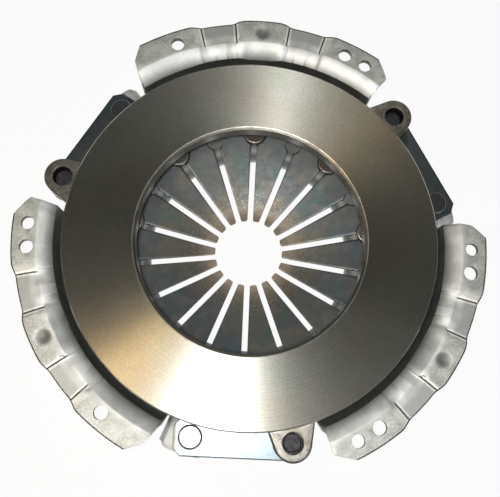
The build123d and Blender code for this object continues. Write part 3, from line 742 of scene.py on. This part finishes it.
# An arc runs from its pair of holes to its single pad. Its ends slant with the radius, and the slant dies out
# at the reach of each end
ARC_START, ARC_END, DOME_SIDE, DOME_EDGE = 50.2, 124.2, 137.5, 119.5
END_RADII = (NOTCH_RADIUS, 130.5, 143.5, FLANGE_RADIUS)
PAIR_END, SINGLE_END = (ARC_START, ARC_START, 49.7, 54.6), (ARC_END, ARC_END, 122.7, 119.4)
PAIR_REACH, SINGLE_REACH = 60.0, 114.0
# Angles of the grid's columns along the arc: even steps up to each angle, fine at creases, ramps and valleys
ARC_STEPS = (
    (58.0, 0.8), (66.0, 1.6), (69.0, 0.4), (70.4, 0.2), (74.0, 0.4), (75.8, 0.9), (78.8, 0.4),
    (80.8, 0.15), (83.2, 0.6), (89.6, 0.32), (92.2, 0.65), (94.2, 0.15), (97.4, 0.4), (99.2, 0.9),
    (102.2, 0.4), (103.6, 0.2), (106.6, 0.42), (117.0, 1.6), (ARC_END, 0.8),
)
SIDE_STEP, BAY_STEP, FLANGE_STEP = 1.7, 2.0, 0.9
HOLE_CIRCLE, PAD_STEP, PAD_EDGE, RAMP_FOOT_RADIUS = 142.5, 1.2, 135.4, 128.9
# The edge comes in beside the lowered sections, between each pair of these angles
EDGE_ANGLES, EDGE_SHARES = (66.6, 70.4, 77.8, 82.2, 90.8, 95.2, 102.2, 105.9), (0, 1, 1, 0, 0, 1, 1, 0)
# Each raised part: the radius of its inner edge, then where its top ends, where its ramp's foot is and its
# corner's radius, on either side
RAISED = (
    (135.4, (51.2, 48.0, 10.0), (66.8, 69.9, 7.0)),
    (139.5, (80.4, 79.2, 4.0), (92.6, 93.8, 4.0)),
    (138.0, (105.7, 102.7, 8.0), (123.0, 126.0, 9.0)),
)
# The boss and the single pad run down to the wall in a broader bend, which falls this far below the others
BROAD_EDGE, BROAD_FALL, BROAD_DEPTH = 140.5, 2.6, 17.0
BROAD_ANGLES, BROAD_SHARES = (79.5, 83.5, 89.5, 93.5, 102.5, 108.5), (0, 1, 1, 0, 0, 0.6)
# Where the raised parts and the lowered sections meet, the bend is drawn in to a shallow valley
VALLEY_ANGLES, VALLEY_SPREAD, VALLEY_DEPTH, VALLEY_EDGE = (70.8, 78.8, 94.3, 102.1), 2.8, 0.9, 141.0
VALLEY_INNER_FADE, VALLEY_OUTER_FADE, WALL_HOLD = 4.0, 5.0, 7.0
FOOT_START, FOOT_FALL = 0.78, 0.55
EDGE_BREAK, EDGE_ROLL = 0.25, 0.8
DIMPLE_ANGLE, DIMPLE_CIRCLE, DIMPLE_RADIUS, DIMPLE_DEPTH = 86.4, 143.2, 6.2, 1.6
# Angle and radius of each hole: six for bolts, three for dowels and the locating hole
HOLES = (
    (62.8, 4.5), (110.1, 4.5), (182.8, 4.5), (230.1, 4.5), (302.8, 4.5), (350.1, 4.5),
    (56.6, 4.25), (176.6, 4.25), (296.6, 4.25), (356.3, 4.0),
)
DRILL_TOP, DRILL_BOTTOM, DRILL_COLUMNS = 3.0, -8.0, 40
BEND_STEPS, SHELF_STEPS, LEAST_ROW, NOTCH_MARGIN, BELOW_WALL = 9, 7, 0.05, 0.4, -40.0
COVER_CREASE = 40.0

# The profile goes from the flange's last row straight to the last point of its bend into the wall
cover_corners = [
    (FLANGE_RADIUS, 0), (WALL_TOP, 0), (WALL_FOOT, FOOT_Z), SHOULDER, (SEAT_OUTER, SEAT_Z),
    (OPENING_RADIUS, SEAT_Z), (OPENING_RADIUS, COLLAR_Z),
]
flange_radii = np.append(FLANGE_RADIUS, np.arange(FLANGE_RADIUS - EDGE_ROLL, PAD_EDGE, -FLANGE_STEP))
flange_rows = np.stack([flange_radii, np.zeros_like(flange_radii)], axis=1)
wall_rows = rounded(cover_corners, COVER_BENDS, BEND_STEPS, closed=False)[BEND_STEPS + 1:]
cover_profile = np.concatenate([flange_rows, wall_rows])
row_lengths = np.linalg.norm(np.diff(cover_profile, axis=0), axis=1)
cover_profile = cover_profile[np.append(True, row_lengths > LEAST_ROW)]
# It is parted at the notch's radius: an arc carries what lies outside, and the whole bowl what lies inside
outer_rows = cover_profile[:, 0] > NOTCH_RADIUS + NOTCH_MARGIN
arc_profile, bowl_profile = cover_profile[outer_rows], cover_profile[~outer_rows]
bottom_rows = cover_profile[::-1][cover_profile[::-1, 1] < BELOW_WALL]
joint_row = np.array([[NOTCH_RADIUS, np.interp(NOTCH_RADIUS, *bottom_rows.T)]])
arc_profile = np.concatenate([arc_profile, joint_row])
bowl_profile = np.concatenate([joint_row, bowl_profile])


def steps(start, stop, step):
    """Even angles from start to just before stop, about one step apart."""
    return np.linspace(start, stop, max(int(round((stop - start) / step)), 1) + 1)[:-1]


def eased(share):
    """A share from 0 to 1 with a soft start and end: 3 t^2 - 2 t^3."""
    return share * share * (3 - 2 * share)


span_starts = [ARC_START, *[stop for stop, _ in ARC_STEPS]]
arc_spans = [steps(start, stop, step) for start, (stop, step) in zip(span_starts, ARC_STEPS)]
arc_angles = np.concatenate([*arc_spans, [ARC_END]])
side_angles = steps(ARC_END, DOME_SIDE, SIDE_STEP)
bay_angles = np.concatenate([side_angles, steps(DOME_SIDE, ARC_START + THIRD, BAY_STEP)])


def raised_share(radius, angle):
    """1 on the pads and the boss, 0 on the lowered sections and along the bend, with a ramp between.

    A raised part is a band with rounded inner corners. Outside it the ramp falls steadily by FOOT_FALL of its
    height over FOOT_START of its length, and then more steeply to its foot. Toward the bend it is eased.
    """
    share, degree = np.zeros_like(angle), np.radians(HOLE_CIRCLE)
    for edge, low, high in RAISED:
        inward = radius - edge
        bend_ramp = edge - RAMP_FOOT_RADIUS
        sides = (
            ((angle - low[0]) * degree, np.radians(low[0] - low[1]) * HOLE_CIRCLE, low[2]),
            ((high[0] - angle) * degree, np.radians(high[1] - high[0]) * HOLE_CIRCLE, high[2]),
        )
        depth, length = inward, np.full_like(angle, bend_ramp)
        for inside, ramp, corner in sides:
            round_depth = corner - np.hypot(np.maximum(corner - inside, 0), np.maximum(corner - inward, 0))
            in_corner = (inside < corner) & (inward < corner)
            length = np.where(inside < inward, ramp, length)
            depth = np.minimum(depth, np.where(in_corner, round_depth, np.minimum(inside, inward)))
        out = np.clip(-depth / length, 0, 1)
        slope, foot = out * FOOT_FALL / FOOT_START, 1 - (1 - out) * (1 - FOOT_FALL) / (1 - FOOT_START)
        stepped = np.where(out < FOOT_START, slope, foot)
        share = np.maximum(share, 1 - np.where(length == bend_ramp, eased(out), stepped))
    return share


def pressed(radius, angle, z):
    """Flange heights with the lowered sections, the ramps, the dimple and the broad bends pressed in.

    The dimple and a valley are deep by (1 - t^2)^2, t being the share of the way out of them. A broad bend
    falls by BROAD_FALL times the square of the way in from its edge. The foot of the wall keeps its line.
    """
    hold = eased(np.clip((radius - WALL_TOP) / WALL_HOLD, 0, 1))
    turned_by = np.radians(angle - DIMPLE_ANGLE)
    from_dimple = np.hypot(radius * np.cos(turned_by) - DIMPLE_CIRCLE, radius * np.sin(turned_by))
    dip = DIMPLE_DEPTH * (1 - np.clip(from_dimple / DIMPLE_RADIUS, 0, 1) ** 2) ** 2
    broad = eased(np.interp(angle, BROAD_ANGLES, BROAD_SHARES)) * np.clip((z - FOOT_Z) / BROAD_DEPTH, 0, 1)
    fall = BROAD_FALL * np.clip((BROAD_EDGE - radius) / (BROAD_EDGE - WALL_TOP), 0, 1) ** 2
    off_valley = np.min([np.abs(angle - valley) for valley in VALLEY_ANGLES], axis=0)
    over_bend = np.clip((radius - WALL_TOP) / VALLEY_INNER_FADE, 0, 1)
    over_bend = over_bend * np.clip((VALLEY_EDGE - radius) / VALLEY_OUTER_FADE, 0, 1)
    valley = VALLEY_DEPTH * (1 - np.clip(off_valley / VALLEY_SPREAD, 0, 1) ** 2) ** 2 * over_bend
    return z - PAD_STEP * (1 - raised_share(radius, angle)) * hold - dip - fall * broad - valley


def edge_radius(angle):
    """Radius of the flange's outer edge, which comes in beside the lowered sections in eased steps."""
    share = np.interp(angle, EDGE_ANGLES, EDGE_SHARES)
    return FLANGE_RADIUS - eased(share) * (FLANGE_RADIUS - LOWERED_RADIUS)


def arc_grid(fold):
    """One arc of flange, wall and dome: the profile swept between ends that slant with the radius."""
    radius, z = arc_profile[:, :1], arc_profile[:, 1:]
    pair_share = np.clip((PAIR_REACH - arc_angles) / (PAIR_REACH - ARC_START), 0, 1)
    single_share = np.clip((arc_angles - SINGLE_REACH) / (ARC_END - SINGLE_REACH), 0, 1)
    pair_shift = (np.interp(radius, END_RADII, PAIR_END) - ARC_START) * pair_share
    single_shift = (np.interp(radius, END_RADII, SINGLE_END) - ARC_END) * single_share
    angle = arc_angles[None, :] + pair_shift + single_shift
    narrowing = FLANGE_RADIUS - edge_radius(angle)
    radius = radius - narrowing * np.clip((radius - PAD_EDGE) / (FLANGE_RADIUS - PAD_EDGE), 0, 1)
    return around(radius, angle + THIRD * fold, pressed(radius, angle, z))


third_angles = np.concatenate([arc_angles[:-1], bay_angles])
bowl_angles = np.concatenate([third_angles + THIRD * fold for fold in range(3)])
cover_patches = [(around(bowl_profile[:, :1], bowl_angles[None, :], bowl_profile[:, 1:]), False, True, 0)]
dome_rows = arc_profile[arc_profile[:, 0] < DOME_EDGE]
for fold in range(3):
    cover_patches.append((arc_grid(fold), False, False, 0))
    bay = np.append(side_angles, DOME_SIDE) + THIRD * fold
    cover_patches.append((around(dome_rows[:, :1], bay[None, :], dome_rows[:, 1:]), False, False, 0))

hole_patches = []
for angle, hole_radius in HOLES:
    centre = around(HOLE_CIRCLE, angle, 0.0)[:2]
    bore = [(0, DRILL_TOP), (hole_radius, DRILL_TOP), (hole_radius, DRILL_BOTTOM), (0, DRILL_BOTTOM)]
    hole_patches.append((lathe(bore, DRILL_COLUMNS, centre), False, True, 0))
drill = bpy.data.objects.new("drill", worked(mesh_of("drill", hole_patches)))
bpy.context.scene.collection.objects.link(drill)
bore_holes = ("BOOLEAN", {"object": drill, "solver": "EXACT"})
thicken, break_edges = sheet_metal(SHEET, EDGE_BREAK)
pressing = worked(mesh_of("pressing", cover_patches), [thicken, bore_holes, break_edges], True)
bpy.data.objects.remove(drill)

shelf_corners = [(SHELF_RADIUS, SHELF_Z), (SHELF_ROOT, SHELF_Z), (SHELF_ROOT, SHELF_TAIL)]
shelf_bend = rounded(shelf_corners, (1.0, SHELF_BEND, 1.0), SHELF_STEPS, closed=False)[1:]
shelf_out = np.linspace(SHELF_RADIUS, SHELF_ROOT + SHELF_BEND, 9)[:-1]
shelf_flat = np.stack([shelf_out, np.full_like(shelf_out, SHELF_Z)], axis=1)
shelf_profile = np.concatenate([shelf_flat, shelf_bend])
bent_side = np.linspace(SHELF_ANGLES[0], SHELF_FLAT_ANGLE, 9)
shelf_angles = np.concatenate([bent_side, np.linspace(SHELF_FLAT_ANGLE, SHELF_ANGLES[1], 9)[1:]])
# The side toward the arc is bent down like a quarter of an ellipse, and both outer corners are cut back
past_flat = np.clip((SHELF_FLAT_ANGLE - shelf_angles) / (SHELF_FLAT_ANGLE - SHELF_ANGLES[0]), 0, 1)
shelf_drop = SHELF_SIDE_DROP * (1 - np.sqrt(1 - past_flat**2))
to_end = np.minimum(shelf_angles - SHELF_FLAT_ANGLE + 1.0, SHELF_ANGLES[1] - shelf_angles)
cut_back = SHELF_CORNER * np.clip(1 - to_end * np.radians(SHELF_RADIUS) / SHELF_CORNER, 0, 1)
shelf_reach = np.clip((shelf_profile[:, :1] - SHELF_ROOT) / (SHELF_RADIUS - SHELF_ROOT), 0, 1)
shelf_radii = shelf_profile[:, :1] - cut_back * shelf_reach
shelf_heights = shelf_profile[:, 1:] - shelf_drop * shelf_reach**0.5
shelf_patches = [
    (around(shelf_radii, shelf_angles[None, :] + THIRD * fold, shelf_heights), False, False, 0)
    for fold in range(3)
]
shelves = worked(mesh_of("shelves", shelf_patches), sheet_metal(SHEET, SHELF_EDGE), True)

SHEARED_FROM, SHEARED_UPRIGHT = 136.5, 0.4


def sort_faces(mesh):
    """Finish 1 on hole walls and sheared ends of the flange, 2 for the painted shade along its outer edge, 0
    elsewhere.
    """
    count = len(mesh.polygons)
    centre, facing = np.empty(count * 3), np.empty(count * 3)
    mesh.polygons.foreach_get("center", centre)
    mesh.polygons.foreach_get("normal", facing)
    centre, upward = centre.reshape(-1, 3) / MM, np.abs(facing.reshape(-1, 3)[:, 2])
    radius = np.hypot(centre[:, 0], centre[:, 1])
    number = np.where((radius > SHEARED_FROM) & (upward < SHEARED_UPRIGHT), 1, 0)
    angle = np.degrees(np.arctan2(centre[:, 1], centre[:, 0])) % THIRD
    number[radius > edge_radius(angle) - EDGE_ROLL] = 2
    mesh.polygons.foreach_set("material_index", number.astype(np.int32))
    return mesh


SHEET_GREY, SHEET_LIGHT = (0.52, 0.54, 0.54), (0.64, 0.66, 0.67)
PAD_GREY, PAD_LIGHT, DIMPLE_SHADE_COLOR = (0.41, 0.43, 0.42), (0.67, 0.70, 0.68), (0.10, 0.10, 0.095)
SHADED_GREEN, CREASE_SHADE_DARK, CREASE_HIGHLIGHT = (0.07, 0.08, 0.07), (0.03, 0.03, 0.03), (0.95, 0.95, 0.93)
CREASES, CREASE_FAR = (69.7, 79.35, 93.65, 102.9), 99.0
OUTER_EDGE_SHADE_COLORS = (0.05, 0.05, 0.045), (0.16, 0.155, 0.14)
SHEARED_COLORS = (0.24, 0.20, 0.18), (0.10, 0.085, 0.075)
# Heights and distances from the axis between which each part of the sheet's look comes in or fades
PAD_HEIGHTS, PAD_RADII = (-1.1, -0.1), (134.0, 143.5)
FLANGE_HEIGHTS, FLANGE_RADII = (-3.0, -2.0), (135.0, 138.0)
SECTION_TOP, SECTION_RADII = (-1.1, -0.9), (140.0, 144.0)
RAMP_FOOT, RAMP_TOP, RAMP_RADII = (-1.15, -0.9), (-0.35, -0.1), (138.0, 142.0)
SHADE_HEIGHTS, SHADE_RADII, SHADE_FACING = (-30.0, -18.0), (123.8, 133.2), (-0.25, 0.1)
BURNISH_HEIGHTS, BURNISH_RADII = (-14.0, -8.0), (133.0, 139.0)
CREASE_WIDTH, CREASE_SIDE, CREASE_SIDE_END = (0.2, 0.65), (0.5, 0.9), (1.1, 2.2)
DIMPLE_SHADE, DIMPLE_RIM = 2.6, 0.4
pressed_steel, place = new_finish("pressed_steel")
x, y, z, radius = axes(place)
mottle = cloud(place, 9.0, 4.0, 0.55)
grain = cloud(place, 1.3, 4.0, 0.6)
on_pad = rise(z, *PAD_HEIGHTS) * rise(radius, *PAD_RADII)
folded = y.math("ARCTAN2", x).math("MULTIPLY", 180 / np.pi).math("FLOORED_MODULO", THIRD)
from_crease = x * 0.0 + CREASE_FAR
for crease in CREASES:
    off_crease = (folded - crease).math("ABSOLUTE") * radius * np.radians(1.0)
    from_crease = from_crease.math("MINIMUM", off_crease)
on_flange = rise(radius, *FLANGE_RADII) * rise(z, *FLANGE_HEIGHTS)
crease_shade = (1 - rise(from_crease, *CREASE_WIDTH)) * on_flange
crease_highlight = rise(from_crease, *CREASE_SIDE) * (1 - rise(from_crease, *CREASE_SIDE_END)) * on_flange
shaded = (1 - rise(radius, *SHADE_RADII)) * (rise(z, *SHADE_HEIGHTS) * 0.35 + 0.65)
shaded = shaded * rise(uprightness(place), *SHADE_FACING)
burnished = (1 - rise(radius, *BURNISH_RADII)) * rise(z, *BURNISH_HEIGHTS)
ramp_highlight = rise(radius, *RAMP_RADII) * rise(z, *RAMP_FOOT) * (1 - rise(z, *RAMP_TOP))
shaded_dimple = x * 0.0
for fold in range(3):
    middle = around(DIMPLE_CIRCLE, DIMPLE_ANGLE + THIRD * fold, 0.0)
    away = ((x - middle[0]).math("POWER", 2.0) + (y - middle[1]).math("POWER", 2.0)).math("SQRT")
    shaded_dimple = shaded_dimple + (1 - rise(away, DIMPLE_RADIUS - DIMPLE_SHADE, DIMPLE_RADIUS - DIMPLE_RIM))
sheet_color = mixed(rise(mottle, 0.35, 0.7), SHEET_GREY, SHEET_LIGHT)
worn = rise(mottle, 0.36, 0.64) * 0.55 + rise(grain, 0.38, 0.62) * 0.45
# The pads are coined a darker, worn grey; the slow fade of that grey toward the bend is a painted highlight
sheet_color = mixed(on_pad, sheet_color, mixed(worn, PAD_GREY, PAD_LIGHT))
in_section = rise(radius, *SECTION_RADII) * rise(z, *FLANGE_HEIGHTS) * (1 - rise(z, *SECTION_TOP))
sheet_color = mixed(in_section * 0.6, sheet_color, PAD_GREY)
# Painted highlight: a pale band beside each crease, and paler ramps
sheet_color = mixed(crease_highlight * 0.7 + ramp_highlight * 0.35, sheet_color, CREASE_HIGHLIGHT)
# Painted shade: the dimple's hollow is darkened
sheet_color = mixed(shaded_dimple * 0.6, sheet_color, DIMPLE_SHADE_COLOR)
sheet_color = mixed(shaded * 0.95, sheet_color, SHADED_GREEN)
# Painted shade: a dark line along each crease
sheet_color = mixed(crease_shade * 0.9, sheet_color, CREASE_SHADE_DARK)
surface(place, Base_Color=sheet_color, Metallic=0.95, Roughness=0.60 + mottle * 0.10 - burnished * 0.11,
        Normal=relief(mottle * 0.7 + grain * 0.3, 0.16))

# Painted shade: a dark line along the flange's outer edge
outer_edge_shade = scuffed("outer_edge_shade", 2.0, (0.45, 0.7), OUTER_EDGE_SHADE_COLORS, 0.9, 0.5, 0.2, 0.1)
sheared_edge = scuffed("sheared_edge", 1.8, (0.4, 0.65), SHEARED_COLORS, 0.7, 0.45, 0.2, 0.2)

cover_finishes = [pressed_steel, sheared_edge, outer_edge_shade]
add_piece("cover_pressing", [sort_faces(pressing), shelves], cover_finishes, "cover", ["cover"],
          COVER_CREASE)
